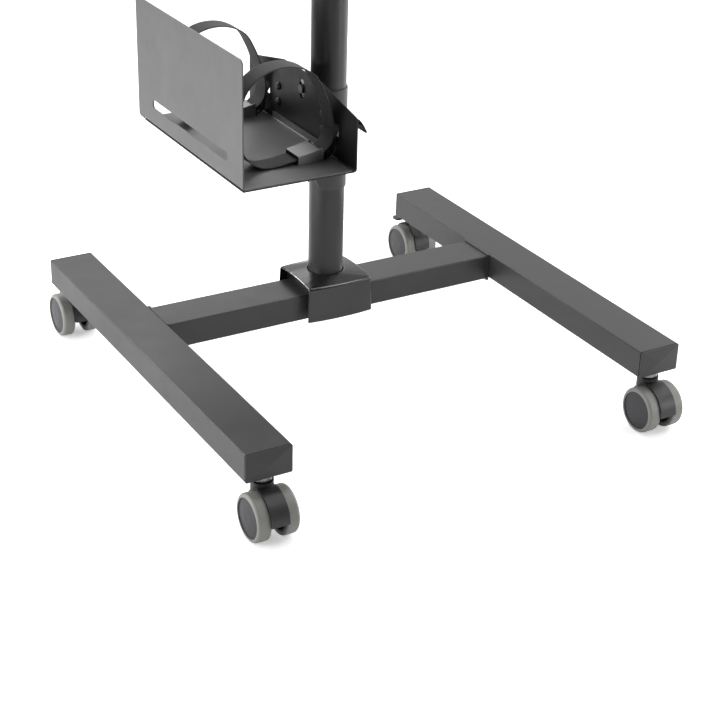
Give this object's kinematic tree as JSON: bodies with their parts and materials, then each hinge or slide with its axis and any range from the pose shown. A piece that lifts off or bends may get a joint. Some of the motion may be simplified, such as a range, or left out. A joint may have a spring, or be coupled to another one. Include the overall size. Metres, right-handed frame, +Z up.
{
  "type": "mobile monitor stand",
  "caption": "Rolling display stand: twin-wheel casters under two side beams, a round pole with a strap-down computer cradle clamped to it, and a tilting screen plate.",
  "frame": {"origin": "on the floor, on the axis of the pole", "axes": "+Z up along the pole; -Y towards the front of the stand, where the screen faces; -X towards the side that carries the cradle"},
  "size_m": [0.7754, 0.832, 1.485],
  "materials": {
    "frame_coat": "satin powder coat, very dark grey",
    "panel_coat": "satin powder coat, very dark grey, finely textured",
    "black_plastic": "moulded, fine grain",
    "wheel_tread": "grey non-marking tread, matt",
    "steel": "zinc plated, satin",
    "dark_steel": "blackened steel, satin",
    "webbing": "woven polyester, ribbed along its length"
  },
  "bodies": {
    "base": {"left_beam": "frame_coat", "right_beam": "frame_coat", "front_left_cap": "black_plastic", "front_right_cap": "black_plastic", "rear_left_cap": "black_plastic", "rear_right_cap": "black_plastic", "cross_beam": "frame_coat", "beam_bolts": "steel", "pole_shroud": "black_plastic", "pole": "frame_coat", "pole_foot_bolt": "steel", "pole_top_cap": "black_plastic", "front_left_stem": "steel", "front_right_stem": "steel", "rear_left_stem": "steel", "rear_right_stem": "steel"},
    "front_left_swivel": {"front_left_hood": "black_plastic", "front_left_axle": "steel"},
    "front_left_outer_wheel": {"front_left_outer_hub": "black_plastic", "front_left_outer_tyre": "wheel_tread"},
    "front_left_inner_wheel": {"front_left_inner_hub": "black_plastic", "front_left_inner_tyre": "wheel_tread"},
    "front_right_swivel": {"front_right_hood": "black_plastic", "front_right_axle": "steel"},
    "front_right_outer_wheel": {"front_right_outer_hub": "black_plastic", "front_right_outer_tyre": "wheel_tread"},
    "front_right_inner_wheel": {"front_right_inner_hub": "black_plastic", "front_right_inner_tyre": "wheel_tread"},
    "rear_left_swivel": {"rear_left_hood": "black_plastic", "rear_left_axle": "steel"},
    "rear_left_outer_wheel": {"rear_left_outer_hub": "black_plastic", "rear_left_outer_tyre": "wheel_tread"},
    "rear_left_inner_wheel": {"rear_left_inner_hub": "black_plastic", "rear_left_inner_tyre": "wheel_tread"},
    "rear_right_swivel": {"rear_right_hood": "black_plastic", "rear_right_axle": "steel"},
    "rear_right_outer_wheel": {"rear_right_outer_hub": "black_plastic", "rear_right_outer_tyre": "wheel_tread"},
    "rear_right_inner_wheel": {"rear_right_inner_hub": "black_plastic", "rear_right_inner_tyre": "wheel_tread"},
    "rear_right_brake": {"rear_right_pedal": "black_plastic"},
    "carriage": {"cradle_wall": "panel_coat", "clamp_bracket": "frame_coat", "clamp_saddle": "black_plastic", "clamp_bolts": "dark_steel", "front_strap": "webbing", "front_buckle": "dark_steel", "rear_strap": "webbing", "rear_buckle": "dark_steel"},
    "tray": {"cradle_tray": "panel_coat", "tray_screws": "steel"},
    "front_lever": {"front_cam": "dark_steel"},
    "rear_lever": {"rear_cam": "dark_steel"},
    "head_sleeve": {"mount_sleeve": "frame_coat", "tilt_bolt": "steel"},
    "knob": {"height_knob": "black_plastic"},
    "head": {"tilt_head": "frame_coat", "monitor_plate": "frame_coat"}
  },
  "joints": [
    {"name": "front_left_swivel_turn", "type": "hinge", "parent": "base", "child": "front_left_swivel", "pos_m": [-0.35, -0.45, 0.085], "axis": [0, 0, 1], "continuous": true},
    {"name": "front_left_outer_wheel_spin", "type": "hinge", "parent": "front_left_swivel", "child": "front_left_outer_wheel", "pos_m": [-0.35, -0.47, 0.0375], "axis": [1, 0, 0], "continuous": true},
    {"name": "front_left_inner_wheel_spin", "type": "hinge", "parent": "front_left_swivel", "child": "front_left_inner_wheel", "pos_m": [-0.35, -0.47, 0.0375], "axis": [1, 0, 0], "continuous": true},
    {"name": "front_right_swivel_turn", "type": "hinge", "parent": "base", "child": "front_right_swivel", "pos_m": [0.35, -0.45, 0.085], "axis": [0, 0, 1], "continuous": true},
    {"name": "front_right_outer_wheel_spin", "type": "hinge", "parent": "front_right_swivel", "child": "front_right_outer_wheel", "pos_m": [0.35, -0.47, 0.0375], "axis": [1, 0, 0], "continuous": true},
    {"name": "front_right_inner_wheel_spin", "type": "hinge", "parent": "front_right_swivel", "child": "front_right_inner_wheel", "pos_m": [0.35, -0.47, 0.0375], "axis": [1, 0, 0], "continuous": true},
    {"name": "rear_left_swivel_turn", "type": "hinge", "parent": "base", "child": "rear_left_swivel", "pos_m": [-0.35, 0.261, 0.085], "axis": [0, 0, 1], "continuous": true},
    {"name": "rear_left_outer_wheel_spin", "type": "hinge", "parent": "rear_left_swivel", "child": "rear_left_outer_wheel", "pos_m": [-0.35, 0.281, 0.0375], "axis": [1, 0, 0], "continuous": true},
    {"name": "rear_left_inner_wheel_spin", "type": "hinge", "parent": "rear_left_swivel", "child": "rear_left_inner_wheel", "pos_m": [-0.35, 0.281, 0.0375], "axis": [1, 0, 0], "continuous": true},
    {"name": "rear_right_swivel_turn", "type": "hinge", "parent": "base", "child": "rear_right_swivel", "pos_m": [0.35, 0.261, 0.085], "axis": [0, 0, 1], "continuous": true},
    {"name": "rear_right_outer_wheel_spin", "type": "hinge", "parent": "rear_right_swivel", "child": "rear_right_outer_wheel", "pos_m": [0.35, 0.281, 0.0375], "axis": [1, 0, 0], "continuous": true},
    {"name": "rear_right_inner_wheel_spin", "type": "hinge", "parent": "rear_right_swivel", "child": "rear_right_inner_wheel", "pos_m": [0.35, 0.281, 0.0375], "axis": [1, 0, 0], "continuous": true},
    {"name": "rear_right_brake_press", "type": "hinge", "parent": "rear_right_swivel", "child": "rear_right_brake", "pos_m": [0.35, 0.28375, 0.0825], "axis": [-1, 0, 0], "range_deg": [0, 15]},
    {"name": "cradle_height", "type": "slide", "parent": "base", "child": "carriage", "axis": [0, 0, 1], "range_m": [-0.13, 0.4]},
    {"name": "cradle_width", "type": "slide", "parent": "carriage", "child": "tray", "axis": [-1, 0, 0], "range_m": [0, 0.06]},
    {"name": "front_cam_release", "type": "hinge", "parent": "carriage", "child": "front_lever", "pos_m": [-0.0835, -0.106, 0.4301], "axis": [0, 1, 0], "range_deg": [0, 60]},
    {"name": "rear_cam_release", "type": "hinge", "parent": "carriage", "child": "rear_lever", "pos_m": [-0.0835, 0.129, 0.4301], "axis": [0, 1, 0], "range_deg": [0, 60]},
    {"name": "head_height", "type": "slide", "parent": "base", "child": "head_sleeve", "axis": [0, 0, 1], "range_m": [-0.15, 0.1]},
    {"name": "knob_turn", "type": "hinge", "parent": "head_sleeve", "child": "knob", "pos_m": [0, 0.05, 1.3425], "axis": [0, 1, 0], "continuous": true},
    {"name": "screen_tilt", "type": "hinge", "parent": "head_sleeve", "child": "head", "pos_m": [0, -0.058, 1.32], "axis": [1, 0, 0], "range_deg": [-20, 15]}
  ]
}
